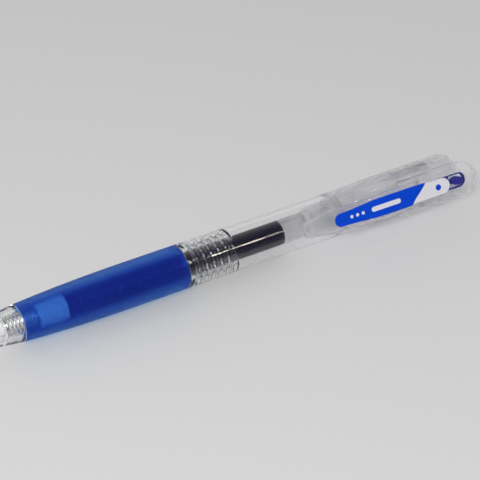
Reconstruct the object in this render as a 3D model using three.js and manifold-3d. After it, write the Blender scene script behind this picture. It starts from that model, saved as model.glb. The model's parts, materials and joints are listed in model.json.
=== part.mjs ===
// A retractable ballpoint pen with a clear barrel, whose clip slides forward as its button.
//
// Every piece is drawn round the pen's own axis, in millimetres: u runs along local X from the
// nose mouth to the rear, t runs across (local Y), and n points from the axis to the clip
// (local Z). The finished pen is then rolled over, the way it lies on a desk on its barrel and
// on one edge of its rear housing, and its origin is put under the middle of its box.

import * as THREE from 'three';
import { mergeVertices } from 'three/addons/utils/BufferGeometryUtils.js';
import Module from 'manifold-3d';

const wasm = await Module();
wasm.setup();

// ---------------------------------------------------------------- driving dimensions

const FIT = 0.3;                 // space between pieces that touch on the real pen
const SIDES = 36;                // facets round the large turned pieces
const FEW_SIDES = 24;            // facets round the small ones

const TRAVEL = 5.4;              // full stroke of the button

// Nose, grip and threaded spigot
const MOUTH_R = 1.7;
const MOUTH_BORE = 1.25;
const NOSE_BORE = 1.95;          // round the refill's nozzle
const SPRING_SEAT = 14.4;
const SPRING_BORE = 2.9;
const REFILL_BORE_START = 20;    // ahead of the refill tube when the button is pressed
const REFILL_BORE = 3.3;
const NOSE_END = 18.5;
const NOSE_END_R = 4.6;
const NOSE_END_SLOPE = 0.11;     // how fast the nose still widens where the grip starts
const GRIP_CORE_R = 3.75;
const GRIP_END = 61.8;
const GRIP_SLOPE_END = 48;       // behind this the grip is as wide as the barrel
const COLLAR_WIDTH = 1.1;
const THREAD_CREST = 4.15;
const THREAD_ROOT = 3.85;
const THREAD_PITCH = 2.0;
const THREAD_TURNS = 6;
const SPIGOT_END = 75.7;

// Rear barrel
const BARREL_R = 5.5;
const BARREL_BORE = 4.45;
const BARREL_END = 103.7;
const BARREL_SPIGOT_R = 4.85;
const BARREL_THREAD_ROOT = 4.75;
const BARREL_SPIGOT_END = 105.4;
const BARREL_SPIGOT_BORE = 4.35;

// Rear housing: round in front, and straight-sided from HOUSING_SQUARE on
const HOUSING_FRONT = BARREL_END + FIT;
const HOUSING_SOCKET_END = BARREL_SPIGOT_END + FIT;
const HOUSING_SQUARE = 117;
const HOUSING_END = 138.5;
const HOUSING_BORE = 4.4;
const HOUSING_HALF_WIDTH = 5.6;
const HOUSING_TOP = 5.5;
const HOUSING_BELLY = 5.1;
const HOUSING_CORNER = 2.4;      // radius of the two upper edges
const SKIRT_ANGLE = THREE.MathUtils.degToRad(10);  // of the lower edges, below the axis
const TOP_SLOT_FRONT = 124.2;
const TOP_SLOT_HALF_WIDTH = 2.2;
const SIDE_SLOT_FRONT = 121.8;
const SIDE_SLOT_END = 132;
const SIDE_SLOT_BOTTOM = 1.3;
const SIDE_SLOT_TOP = 2.7;
const GUIDE_FRONT = 122;
const GUIDE_END = 130.5;
const GUIDE_R = 3.7;
const GUIDE_ANGLE = THREE.MathUtils.degToRad(50);   // of the upper guides, above the t axis
const GUIDE_HALF_ANGLE = THREE.MathUtils.degToRad(7);

// Push cam, button body and clip
const CAM_FRONT = 128.3;
const CAM_END = 135.9;
const CAM_R = 3.4;
const CAM_BORE = 2.95;
const TOOTH_COUNT = 8;
const TOOTH_HEIGHT = 1.1;
const TAB_LENGTH = 4.3;
const TAB_ROOT = 2.6;
const TAB_REACH = 5.3;
const TAB_BOTTOM = 1.65;
const TAB_TOP = 2.3;
const BOSS_FRONT = CAM_END + FIT;
const BOSS_END = 139.4;
const BOSS_R = 3.9;
const BOSS_BORE = 3.0;
const BOSS_CAP = 1.0;
const NECK_FRONT = 130.2;
const NECK_END = 139.2;
const NECK_HALF_WIDTH = 1.9;
const NECK_TOP = 6.8;
const CLIP_FRONT = 92.3;
const PAD_END = 101.8;
const PAD_FRONT_R = 1.9;
const PAD_HALF_WIDTH = 3.1;
const PAD_BOTTOM = 5.7;
const PAD_TOP = 7.6;
const CLIP_BOTTOM = 6.5;
const CLIP_TOP = 8;
const CLIP_RISE = THREE.MathUtils.degToRad(1.7);   // of the clip towards the rear, from the pad on
const ARM_FRONT_HALF_WIDTH = 2.75;
const HINGE_U = 125.2;           // where the arm bends on its root
const ARM_END_HALF_WIDTH = 3.3;
const HEAD_BOTTOM = 5.3;
const HEAD_FULL = 131.5;
const HEAD_END = 142;
const HEAD_HALF_WIDTH = 4.4;

// Labels in shallow pockets on top of the clip
const LABEL_THICKNESS = 0.3;
const LABEL_FRONT = 101.1;
const LABEL_FRONT_HALF_WIDTH = 1.65;
const LABEL_HALF_WIDTH = 2.35;
const LABEL_END = 134;

// Blue insert in the clip's rear end: a plate under the white label, and behind it a rim round an
// oval stud
const INSERT_FRONT = 131;
const INSERT_END = 139;
const INSERT_HALF_WIDTH = 1.9;
const INSERT_RIM = 0.4;
const INSERT_OPENING_FRONT = 134.4;
const INSERT_BOTTOM = 6.2;
const INSERT_TOP = CLIP_TOP - LABEL_THICKNESS - 2 * FIT;
const STUD_U = 136.4;
const STUD_LENGTH = 3.2;
const STUD_WIDTH = 2.1;
const STUD_TOP = 7.8;
const BRIDGE_HALF_WIDTH = 0.5;

// Rotor and refill
const ROTOR_FRONT = 97.2;
const ROTOR_STEM_R = 3.9;
const ROTOR_STEM_END = 111.5;
const ROTOR_NECK_R = 3.4;
const ROTOR_BORE = 2.6;
const ROTOR_END = 127.9;
const ROTOR_RIB_COUNT = 4;
const ROTOR_RIB_FRONT = 122.6;
const ROTOR_RIB_END = 126.6;
const ROTOR_RIB_R = 4.1;
const ROTOR_RIB_HALF_ANGLE = THREE.MathUtils.degToRad(6);
const REFILL_END = 112.3;
const TUBE_FRONT = 26;
const TUBE_R = 3.05;
const TUBE_BORE = 2.65;
const HOLDER_SHOULDER = 23.5;
const HOLDER_SHOULDER_R = 2.6;
const HOLDER_PLUG_R = 2.35;
const HOLDER_END = 30.7;
const NOZZLE_FRONT = 12.6;
const NOZZLE_R = 1.6;
const TIP_R = 1.0;
const TIP_BACK = 16.2;
const TIP_CONE_FRONT = 1.75;
const TIP_CONE_LENGTH = 3;
const BALL_U = 1.45;
const BALL_R = 0.35;
const INK_FRONT = HOLDER_END + FIT;
const INK_END = 89.1;
const INK_R = TUBE_BORE - FIT;
const FOLLOWER_END = 96.4;

// Return spring
const SPRING_R = 2.45;           // middle of the wire
const WIRE_R = 0.18;
const SPRING_TURNS = 9.5;

const ROLL = Math.asin(BARREL_R * Math.cos(SKIRT_ANGLE) / HOUSING_HALF_WIDTH) - SKIRT_ANGLE;

// ---------------------------------------------------------------- shape helpers

// A turned piece. Both outlines list [u, r] from front to rear. Without a bore it is solid.
function turned(outer, bore = null, sides = SIDES) {
  const loop = bore
    ? [...outer, ...[...bore].reverse(), outer[0]]
    : [[outer[0][0], 0], ...outer, [outer.at(-1)[0], 0]];
  const profile = loop.map(([u, r]) => new THREE.Vector2(r, u));
  return new THREE.LatheGeometry(profile, sides).rotateZ(-Math.PI / 2);
}

// A closed skin over rings of equal point count, where the last ring joins the first.
function skinned(rings) {
  const count = rings[0].length;
  const index = [];
  rings.forEach((ring, i) => {
    const here = i * count;
    const next = ((i + 1) % rings.length) * count;
    for (let k = 0; k < count; k += 1) {
      const after = (k + 1) % count;
      index.push(here + k, here + after, next + k);
      index.push(here + after, next + after, next + k);
    }
  });
  const geometry = new THREE.BufferGeometry();
  geometry.setAttribute('position', new THREE.Float32BufferAttribute(rings.flat(2), 3));
  geometry.setIndex(index);
  return geometry;
}

function block([u0, u1], [t0, t1], [n0, n1]) {
  const box = new THREE.BoxGeometry(u1 - u0, t1 - t0, n1 - n0);
  return box.translate((u0 + u1) / 2, (t0 + t1) / 2, (n0 + n1) / 2);
}

// A flat outline in u and t, made thick between two heights n.
function slab(shape, n0, n1, curveSegments = 12) {
  const options = { depth: n1 - n0, bevelEnabled: false, curveSegments };
  return new THREE.ExtrudeGeometry(shape, options).translate(0, 0, n0);
}

// A piece of a ring between two radii, centred on an angle from +t towards +n.
function sector([u0, u1], [r0, r1], middle, halfAngle) {
  const shape = new THREE.Shape();
  shape.absarc(0, 0, r1, middle - halfAngle, middle + halfAngle, false);
  shape.absarc(0, 0, r0, middle + halfAngle, middle - halfAngle, true);
  const options = { depth: u1 - u0, bevelEnabled: false, curveSegments: 3 };
  const toAxis = new THREE.Matrix4().makeBasis(
    new THREE.Vector3(0, 1, 0), new THREE.Vector3(0, 0, 1), new THREE.Vector3(1, 0, 0),
  );
  return new THREE.ExtrudeGeometry(shape, options).applyMatrix4(toAxis).translate(u0, 0, 0);
}

// Wedges side by side round a ring: the teeth of a cam. They point to -u, or to +u.
function toothRing(rootU, pointing, rInner, rOuter) {
  const halfStep = Math.PI / TOOTH_COUNT;
  const halfBase = rInner * Math.tan(halfStep) * 0.9;
  const tooth = new THREE.Shape([
    new THREE.Vector2(-halfBase, -FIT),
    new THREE.Vector2(halfBase, -FIT),
    new THREE.Vector2(halfBase, 0),
    new THREE.Vector2(0, TOOTH_HEIGHT),
    new THREE.Vector2(-halfBase, 0),
  ]);
  const options = { depth: rOuter - rInner, bevelEnabled: false };
  const side = new THREE.Vector3(0, pointing, 0);
  const toRim = new THREE.Matrix4().makeBasis(
    side, new THREE.Vector3(pointing, 0, 0), new THREE.Vector3(0, 0, -1),
  );
  const teeth = [];
  for (let k = 0; k < TOOTH_COUNT; k += 1) {
    const wedge = new THREE.ExtrudeGeometry(tooth, options).applyMatrix4(toRim);
    wedge.translate(rootU, 0, rOuter).rotateX((2 * k + 1) * halfStep);
    teeth.push(wedge);
  }
  return teeth;
}

// ---------------------------------------------------------------- solids

function solid(geometry) {
  const bare = geometry.clone();
  bare.deleteAttribute('normal');
  bare.deleteAttribute('uv');
  const merged = mergeVertices(bare, 1e-4);
  return new wasm.Manifold(new wasm.Mesh({
    numProp: 3,
    vertProperties: merged.attributes.position.array,
    triVerts: Uint32Array.from(merged.index.array),
  }));
}

function geometryOf(manifold) {
  const { vertProperties, triVerts } = manifold.getMesh();
  const geometry = new THREE.BufferGeometry();
  geometry.setAttribute('position', new THREE.BufferAttribute(vertProperties, 3));
  geometry.setIndex(new THREE.BufferAttribute(triVerts, 1));
  return geometry;
}

function joined(base, additions, cuts = []) {
  let body = solid(base);
  for (const piece of additions) body = body.add(solid(piece));
  for (const piece of cuts) body = body.subtract(solid(piece));
  return geometryOf(body);
}

// ---------------------------------------------------------------- front section

// The nose is a shallow parabola from the mouth to the front edge of the grip.
function noseRadius(u) {
  const bend = (NOSE_END_SLOPE * NOSE_END - (NOSE_END_R - MOUTH_R)) / NOSE_END ** 2;
  const slope = NOSE_END_SLOPE - 2 * bend * NOSE_END;
  return MOUTH_R + slope * u + bend * u * u;
}

function gripRadius(u) {
  const rise = THREE.MathUtils.clamp((GRIP_SLOPE_END - u) / (GRIP_SLOPE_END - NOSE_END), 0, 1);
  return BARREL_R - (BARREL_R - NOSE_END_R) * rise ** 2;
}

function spaced(from, to, steps) {
  return Array.from({ length: steps + 1 }, (_, i) => from + (to - from) * i / steps);
}

// A screw thread, drawn as rings of its own pitch between two radii.
function threadRings(start, base, peak) {
  const points = [];
  for (let turn = 0; turn < THREAD_TURNS; turn += 1) {
    const u = start + turn * THREAD_PITCH;
    points.push([u, base], [u + 0.25 * THREAD_PITCH, peak]);
    points.push([u + 0.5 * THREAD_PITCH, peak], [u + 0.75 * THREAD_PITCH, base]);
  }
  return points;
}

function frontBarrel() {
  const collarStart = GRIP_END + FIT;
  const threadStart = collarStart + COLLAR_WIDTH + FIT;
  const outer = spaced(0, NOSE_END, 6).map((u) => [u, noseRadius(u)]);
  outer.push([NOSE_END, GRIP_CORE_R], [collarStart, GRIP_CORE_R], [collarStart, BARREL_R]);
  outer.push([collarStart + COLLAR_WIDTH, BARREL_R], [collarStart + COLLAR_WIDTH, THREAD_ROOT]);
  outer.push(...threadRings(threadStart, THREAD_ROOT, THREAD_CREST), [SPIGOT_END, THREAD_ROOT]);
  const bore = [
    [0, MOUTH_BORE], [5, MOUTH_BORE], [6.5, NOSE_BORE], [SPRING_SEAT, NOSE_BORE],
    [SPRING_SEAT, SPRING_BORE], [REFILL_BORE_START, SPRING_BORE],
    [REFILL_BORE_START + 0.4, REFILL_BORE], [SPIGOT_END, REFILL_BORE],
  ];
  return turned(outer, bore);
}

function gripSleeve() {
  const front = NOSE_END + FIT;
  const outer = spaced(front, GRIP_SLOPE_END, 7).map((u) => [u, gripRadius(u)]);
  outer.push([GRIP_END, BARREL_R]);
  const bore = GRIP_CORE_R + FIT;
  return turned(outer, [[front, bore], [GRIP_END, bore]]);
}

class Coil extends THREE.Curve {
  getPoint(share, target = new THREE.Vector3()) {
    const angle = share * SPRING_TURNS * 2 * Math.PI;
    const length = HOLDER_SHOULDER - SPRING_SEAT - 2 * (WIRE_R + 0.1);
    const u = SPRING_SEAT + WIRE_R + 0.1 + length * share;
    return target.set(u, SPRING_R * Math.cos(angle), SPRING_R * Math.sin(angle));
  }
}

function returnSpring() {
  const wire = new THREE.Shape();
  wire.absarc(0, 0, WIRE_R, 0, 2 * Math.PI, false);
  const steps = Math.round(SPRING_TURNS * 12);
  const options = { extrudePath: new Coil(), steps, curveSegments: 5, bevelEnabled: false };
  return new THREE.ExtrudeGeometry(wire, options);
}

// ---------------------------------------------------------------- barrel and housing

function rearBarrel() {
  const front = GRIP_END + 2 * FIT + COLLAR_WIDTH;
  const outer = [
    [front, BARREL_R], [BARREL_END, BARREL_R],
    [BARREL_END, BARREL_SPIGOT_R], [BARREL_SPIGOT_END, BARREL_SPIGOT_R],
  ];
  const bore = [
    [front, BARREL_BORE], ...threadRings(front + FIT, BARREL_BORE, BARREL_THREAD_ROOT),
    [BARREL_END - 1, BARREL_BORE], [BARREL_END, BARREL_SPIGOT_BORE], [BARREL_SPIGOT_END, BARREL_SPIGOT_BORE],
  ];
  return turned(outer, bore);
}

// How far the straight-sided section reaches from the axis: the nearest of its faces.
function squareReach(angle) {
  const skirtReach = HOUSING_HALF_WIDTH / Math.cos(SKIRT_ANGLE);
  const bellyAngle = SKIRT_ANGLE + Math.acos(HOUSING_BELLY / skirtReach);
  const faces = [[0, HOUSING_HALF_WIDTH], [Math.PI / 2, HOUSING_TOP]];
  for (const share of spaced(0, 1, 4)) {
    const tilt = share * Math.PI / 2;
    const across = (HOUSING_HALF_WIDTH - HOUSING_CORNER) * Math.cos(tilt);
    const up = (HOUSING_TOP - HOUSING_CORNER) * Math.sin(tilt);
    faces.push([tilt, across + up + HOUSING_CORNER]);
    faces.push([-bellyAngle - share * (Math.PI / 2 - bellyAngle), HOUSING_BELLY]);
  }
  const folded = Math.atan2(Math.sin(angle), Math.abs(Math.cos(angle)));
  const reaches = faces
    .map(([tilt, distance]) => [Math.cos(folded - tilt), distance])
    .filter(([facing]) => facing > 0.01)
    .map(([facing, distance]) => distance / facing);
  return Math.min(...reaches);
}

function housingRing(u, reach) {
  const ring = [];
  for (let k = 0; k < SIDES; k += 1) {
    const angle = k * 2 * Math.PI / SIDES - SKIRT_ANGLE;
    const r = reach(angle);
    ring.push([u, r * Math.cos(angle), r * Math.sin(angle)]);
  }
  return ring;
}

function rearHousing() {
  const outerStations = [...spaced(HOUSING_FRONT, HOUSING_SQUARE, 5), HOUSING_END - 0.8, HOUSING_END];
  const outer = outerStations.map((u) => {
    const share = THREE.MathUtils.smoothstep(u, HOUSING_FRONT, HOUSING_SQUARE);
    const shrink = u === HOUSING_END ? 0.35 : 0;
    return housingRing(u, (angle) => (
      THREE.MathUtils.lerp(BARREL_R, squareReach(angle), share) - shrink
    ));
  });
  const socket = BARREL_SPIGOT_R + 0.2;
  const inner = [
    [HOUSING_END, HOUSING_BORE], [HOUSING_SOCKET_END, HOUSING_BORE],
    [HOUSING_SOCKET_END, socket], [HOUSING_FRONT, socket],
  ].map(([u, r]) => housingRing(u, () => r));

  const guides = [GUIDE_ANGLE, Math.PI - GUIDE_ANGLE, Math.PI + GUIDE_ANGLE, -GUIDE_ANGLE].map((middle) => (
    sector([GUIDE_FRONT, GUIDE_END], [GUIDE_R, HOUSING_BORE + 0.2], middle, GUIDE_HALF_ANGLE)
  ));
  const topSlot = block([TOP_SLOT_FRONT, HOUSING_END + 1],
    [-TOP_SLOT_HALF_WIDTH, TOP_SLOT_HALF_WIDTH], [3, HOUSING_TOP + 1]);
  const sideSlots = block([SIDE_SLOT_FRONT, SIDE_SLOT_END],
    [-HOUSING_HALF_WIDTH - 1, HOUSING_HALF_WIDTH + 1],
    [SIDE_SLOT_BOTTOM, SIDE_SLOT_TOP]);
  return joined(skinned([...outer, ...inner]), guides, [topSlot, sideSlots]);
}

// ---------------------------------------------------------------- button, cam and clip

function pushCam() {
  const tube = turned(
    [[CAM_FRONT + TOOTH_HEIGHT, CAM_R], [CAM_END, CAM_R]],
    [[CAM_FRONT + TOOTH_HEIGHT, CAM_BORE], [CAM_END, CAM_BORE]],
  );
  const teeth = toothRing(CAM_FRONT + TOOTH_HEIGHT, -1, CAM_BORE + 0.05, CAM_R - 0.05);
  // Each tab is a hook: its root is on the ring behind the teeth, and its nose passes outside the rotor.
  const tabEnd = SIDE_SLOT_END - FIT;
  const tabs = [-1, 1].flatMap((side) => [
    [tabEnd - TAB_LENGTH, ROTOR_NECK_R],
    [CAM_FRONT + TOOTH_HEIGHT, TAB_ROOT],
  ].map(([front, inner]) => {
    const across = [side * inner, side * TAB_REACH].sort((a, b) => a - b);
    return block([front, tabEnd], across, [TAB_BOTTOM, TAB_TOP]);
  }));
  return joined(tube, [...teeth, ...tabs]);
}

// Outline of the blue or the white label, or of its pocket when a margin is given.
function labelShape(part, margin = 0) {
  const shape = new THREE.Shape();
  if (part === 'front') {
    const width = LABEL_HALF_WIDTH + margin;
    const nose = LABEL_FRONT_HALF_WIDTH + margin;
    const rear = HINGE_U - FIT + 2 * margin;
    const noseCentre = LABEL_FRONT + LABEL_FRONT_HALF_WIDTH;
    shape.moveTo(rear, -width);
    shape.lineTo(rear, width);
    shape.lineTo(noseCentre + 8, width);
    shape.lineTo(noseCentre, nose);
    shape.absarc(noseCentre, 0, nose, Math.PI / 2, 1.5 * Math.PI, false);
    shape.lineTo(noseCentre + 8, -width);
  } else {
    const width = LABEL_HALF_WIDTH - 0.2 + margin;
    const front = HINGE_U + FIT - 2 * margin;
    const rearCentre = LABEL_END - LABEL_HALF_WIDTH + 0.2;
    shape.moveTo(front, width);
    shape.lineTo(front, -width);
    shape.absarc(rearCentre, 0, width, -Math.PI / 2, Math.PI / 2, false);
  }
  return shape;
}

// An outline with a square front and a round rear end, as wide as the blue insert and its margin.
function insertShape(front, margin) {
  const half = INSERT_HALF_WIDTH + margin;
  const shape = new THREE.Shape();
  shape.moveTo(front, half);
  shape.lineTo(front, -half);
  shape.absarc(INSERT_END - INSERT_HALF_WIDTH, 0, half, -Math.PI / 2, Math.PI / 2, false);
  return shape;
}

function colourInsert() {
  const plate = slab(insertShape(INSERT_FRONT, 0), INSERT_BOTTOM, INSERT_TOP);
  const opening = slab(insertShape(INSERT_OPENING_FRONT, -INSERT_RIM), INSERT_BOTTOM - 1, INSERT_TOP + 1);
  const oval = new THREE.Shape();
  oval.absellipse(STUD_U, 0, STUD_LENGTH / 2, STUD_WIDTH / 2, 0, 2 * Math.PI, false);
  const stud = slab(oval, INSERT_BOTTOM, STUD_TOP);
  const bridge = block([INSERT_OPENING_FRONT - FIT, STUD_U], [-BRIDGE_HALF_WIDTH, BRIDGE_HALF_WIDTH],
    [INSERT_BOTTOM, INSERT_TOP]);
  return raised(joined(joined(plate, [], [opening]), [stud, bridge]));
}

// Tips a part of the clip up towards the rear, about the rear edge of the pad.
function raised(geometry) {
  return geometry.translate(-PAD_END, 0, -CLIP_TOP).rotateY(-CLIP_RISE).translate(PAD_END, 0, CLIP_TOP);
}

function label(part) {
  return raised(slab(labelShape(part), CLIP_TOP - LABEL_THICKNESS, CLIP_TOP, 8));
}

function labelPocket(part) {
  return raised(slab(labelShape(part, FIT), CLIP_TOP - LABEL_THICKNESS - FIT, CLIP_TOP + 1, 8));
}

// Outline of the pad, or of the arm over it when an inset is given: round in front, and widening.
function padShape(inset) {
  const centre = CLIP_FRONT + PAD_FRONT_R;
  const shape = new THREE.Shape();
  shape.moveTo(PAD_END, PAD_HALF_WIDTH - inset);
  shape.absarc(centre, 0, PAD_FRONT_R - inset, Math.PI / 2, 1.5 * Math.PI, false);
  shape.lineTo(PAD_END, inset - PAD_HALF_WIDTH);
  return shape;
}

function clipArm() {
  const rear = HINGE_U - FIT;
  const arm = padShape(PAD_HALF_WIDTH - ARM_FRONT_HALF_WIDTH);
  arm.lineTo(rear, -ARM_END_HALF_WIDTH);
  arm.lineTo(rear, ARM_END_HALF_WIDTH);
  const pad = padShape(0);
  return joined(raised(slab(arm, CLIP_BOTTOM, CLIP_TOP)), [slab(pad, PAD_BOTTOM, PAD_TOP)],
    [labelPocket('front')]);
}

// The rear end of the clip, its neck through the housing's top slot, and the boss that it pushes.
function clipHead() {
  const plate = new THREE.Shape();
  const front = HINGE_U + FIT;
  const roundCentre = HEAD_END - HEAD_HALF_WIDTH;
  plate.moveTo(front, ARM_END_HALF_WIDTH);
  plate.lineTo(front, -ARM_END_HALF_WIDTH);
  plate.lineTo(HEAD_FULL, -HEAD_HALF_WIDTH);
  plate.absarc(roundCentre, 0, HEAD_HALF_WIDTH, -Math.PI / 2, Math.PI / 2, false);
  plate.lineTo(HEAD_FULL, HEAD_HALF_WIDTH);
  const boss = turned(
    [[BOSS_FRONT, BOSS_R], [BOSS_END, BOSS_R], [BOSS_END, 0]],
    [[BOSS_FRONT, BOSS_BORE], [BOSS_END - BOSS_CAP, BOSS_BORE], [BOSS_END - BOSS_CAP, 0]],
  );
  const neck = block([NECK_FRONT, NECK_END], [-NECK_HALF_WIDTH, NECK_HALF_WIDTH],
    [CAM_R + FIT, NECK_TOP]);
  const insertPocket = raised(slab(insertShape(INSERT_FRONT - FIT, FIT), INSERT_BOTTOM - FIT, CLIP_TOP + 1));
  return joined(raised(slab(plate, HEAD_BOTTOM, CLIP_TOP)), [neck, boss],
    [labelPocket('rear'), insertPocket]);
}

// ---------------------------------------------------------------- rotor and refill

function rotorCam() {
  const seat = REFILL_END + FIT;
  const tube = turned(
    [[ROTOR_FRONT, ROTOR_STEM_R], [ROTOR_STEM_END, ROTOR_STEM_R],
      [ROTOR_STEM_END + 0.5, ROTOR_NECK_R], [ROTOR_END - TOOTH_HEIGHT, ROTOR_NECK_R]],
    [[ROTOR_FRONT, REFILL_BORE], [seat, REFILL_BORE - 0.1], [seat, ROTOR_BORE],
      [ROTOR_END - TOOTH_HEIGHT, ROTOR_BORE]],
  );
  const ribs = [];
  for (let k = 0; k < ROTOR_RIB_COUNT; k += 1) {
    ribs.push(sector([ROTOR_RIB_FRONT, ROTOR_RIB_END], [ROTOR_NECK_R - 0.3, ROTOR_RIB_R],
      2 * k * Math.PI / ROTOR_RIB_COUNT, ROTOR_RIB_HALF_ANGLE));
  }
  const teeth = toothRing(ROTOR_END - TOOTH_HEIGHT, 1, ROTOR_BORE + 0.1, ROTOR_NECK_R - 0.05);
  return joined(tube, [...ribs, ...teeth]);
}

function refillTube() {
  return turned([[TUBE_FRONT, TUBE_R], [REFILL_END, TUBE_R]],
    [[TUBE_FRONT, TUBE_BORE], [REFILL_END, TUBE_BORE]], FEW_SIDES);
}

function tipHolder() {
  const step = TUBE_FRONT - FIT;
  return turned(
    [[NOZZLE_FRONT, TIP_R + 0.4], [NOZZLE_FRONT + 0.6, NOZZLE_R], [22, NOZZLE_R],
      [HOLDER_SHOULDER, NOZZLE_R], [HOLDER_SHOULDER, HOLDER_SHOULDER_R],
      [step, HOLDER_SHOULDER_R], [step, HOLDER_PLUG_R], [HOLDER_END, HOLDER_PLUG_R]],
    [[NOZZLE_FRONT, TIP_R + 0.2], [TIP_BACK + FIT, TIP_R + 0.2], [TIP_BACK + FIT, 0.6],
      [HOLDER_END, 0.6]],
    FEW_SIDES,
  );
}

function tipMetal() {
  const coneEnd = TIP_CONE_FRONT + TIP_CONE_LENGTH;
  const bore = TIP_R - 0.6;
  return turned(
    [[TIP_CONE_FRONT, BALL_R + 0.1], [coneEnd, TIP_R], [TIP_BACK, TIP_R]],
    [[TIP_CONE_FRONT, 0.3], [coneEnd, bore], [TIP_BACK, bore]],
    FEW_SIDES,
  );
}

function tipBall() {
  return new THREE.SphereGeometry(BALL_R, 12, 8).translate(BALL_U - 0.3, 0, 0);
}

function inkColumn() {
  return turned([[INK_FRONT, INK_R], [INK_END, INK_R]], null, FEW_SIDES);
}

function inkFollower() {
  return turned([[INK_END + FIT, INK_R], [FOLLOWER_END, INK_R]], null, FEW_SIDES);
}

// ---------------------------------------------------------------- materials and the pen

function plastic(color, roughness = 0.15, opacity = 1) {
  return new THREE.MeshStandardMaterial({
    color, roughness, metalness: 0, opacity, transparent: opacity < 1,
  });
}

const clear = plastic(0xe4e6ea, 0.08, 0.35);
const metal = new THREE.MeshStandardMaterial({ color: 0xc9cacc, roughness: 0.25, metalness: 1 });

const pieces = [
  ['front_barrel', frontBarrel(), clear],
  ['grip_sleeve', gripSleeve(), plastic(0x1c2b9c, 0.5, 0.9)],
  ['return_spring', returnSpring(), metal],
  ['rear_barrel', rearBarrel(), clear],
  ['rear_housing', rearHousing(), clear],
  ['clip_head', clipHead(), clear],
  ['label_white', label('rear'), plastic(0xe6e6ee, 0.4)],
  ['colour_insert', colourInsert(), plastic(0x2a2a90, 0.3)],
  ['push_cam', pushCam(), clear],
  ['clip_arm', clipArm(), clear],
  ['label_blue', label('front'), plastic(0x1738c0, 0.4)],
  ['refill_tube', refillTube(), clear],
  ['ink_column', inkColumn(), plastic(0x0b0b30, 0.3)],
  ['ink_follower', inkFollower(), plastic(0xd9dade, 0.3, 0.6)],
  ['tip_holder', tipHolder(), plastic(0xf0f0f2, 0.4)],
  ['tip_metal', tipMetal(), metal],
  ['tip_ball', tipBall(), metal],
  ['rotor_cam', rotorCam(), clear],
];

const pen = new THREE.Group();
for (const [name, geometry, material] of pieces) {
  const mesh = new THREE.Mesh(geometry, material);
  mesh.name = name;
  pen.add(mesh);
}
pen.rotation.x = ROLL;

const assembly = new THREE.Group();
assembly.add(pen);
assembly.updateMatrixWorld(true);
const box = new THREE.Box3().setFromObject(assembly, true);
const middle = box.getCenter(new THREE.Vector3());
pen.position.set(-middle.x, -middle.y, -box.min.z);

export default assembly;
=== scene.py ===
"""Looks of a clear-barrel retractable pen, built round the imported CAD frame.

Pieces are drawn in the pen's own millimetres: u from the nose mouth to the rear, t across, and n from
the axis to the clip. PEN takes them into the row frame, in metres.
"""
import json
from math import acos, atan2, ceil, cos, hypot, pi, radians, sin, sqrt, tan

import bmesh
import bpy
from mathutils import Matrix, Vector


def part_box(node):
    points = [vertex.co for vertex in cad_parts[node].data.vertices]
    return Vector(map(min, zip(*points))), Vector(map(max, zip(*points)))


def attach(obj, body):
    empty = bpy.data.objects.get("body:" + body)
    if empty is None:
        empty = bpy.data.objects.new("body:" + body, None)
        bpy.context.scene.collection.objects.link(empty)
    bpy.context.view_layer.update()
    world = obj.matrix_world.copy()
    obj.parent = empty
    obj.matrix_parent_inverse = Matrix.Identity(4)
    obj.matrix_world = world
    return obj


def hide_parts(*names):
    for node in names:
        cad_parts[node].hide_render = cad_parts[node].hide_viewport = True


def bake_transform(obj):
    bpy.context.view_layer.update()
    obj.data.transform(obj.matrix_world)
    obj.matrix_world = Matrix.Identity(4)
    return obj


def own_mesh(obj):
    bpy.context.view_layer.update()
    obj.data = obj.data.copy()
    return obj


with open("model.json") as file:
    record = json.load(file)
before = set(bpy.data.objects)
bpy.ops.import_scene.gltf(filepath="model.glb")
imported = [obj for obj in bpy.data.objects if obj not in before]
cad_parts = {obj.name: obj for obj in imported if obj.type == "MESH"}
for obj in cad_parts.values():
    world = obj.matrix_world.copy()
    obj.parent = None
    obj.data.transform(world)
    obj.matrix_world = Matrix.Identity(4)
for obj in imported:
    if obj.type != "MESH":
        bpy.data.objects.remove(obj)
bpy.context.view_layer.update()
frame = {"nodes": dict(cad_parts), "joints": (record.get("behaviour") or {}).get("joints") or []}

# ---------------------------------------------------------------- the pen's frame

MM = 0.001
joints = {joint["name"]: joint for joint in frame["joints"]}
barrel_low, barrel_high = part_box("rear_barrel")
AXIS_START = Vector((
    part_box("front_barrel")[0].x,
    (barrel_low.y + barrel_high.y) / 2,
    (barrel_low.z + barrel_high.z) / 2,
))
ALONG = Vector((1, 0, 0))
ACROSS = Vector(joints["clip_flex"]["axis"]).normalized()
OUT = ALONG.cross(ACROSS)
PEN_TURN = Matrix((ALONG, ACROSS, OUT)).transposed().to_4x4()
PEN = Matrix.Translation(AXIS_START) @ PEN_TURN @ Matrix.Scale(MM, 4)
TO_PEN = PEN.inverted()


def span(node):
    """Where a CAD node starts and ends along the pen, in mm."""
    low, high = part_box(node)
    return (low.x - AXIS_START.x) / MM, (high.x - AXIS_START.x) / MM


def reach(node):
    """The largest distance of a CAD node from the pen's axis, in mm."""
    return max(hypot(*(TO_PEN @ v.co)[1:]) for v in frame["nodes"][node].data.vertices)


def lowest(node):
    """The lowest n of a CAD node, in mm."""
    return min((TO_PEN @ v.co).z for v in frame["nodes"][node].data.vertices)


BARREL_R = reach("rear_barrel")


# ---------------------------------------------------------------- mesh helpers

SIDES = 96                      # of a turned piece
EDGE_RADIUS = 0.12
EDGE_STEPS = 3
LARGEST_CUT = 0.45              # of a side, so that its two rounded corners stay apart
NEARLY_STRAIGHT = radians(165)
ON_AXIS = 1e-6
MERGE_DISTANCE = 1e-4


def spaced(start, end, steps):
    """Evenly spaced values, with both ends."""
    return [start + (end - start) * i / steps for i in range(steps + 1)]


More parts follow.
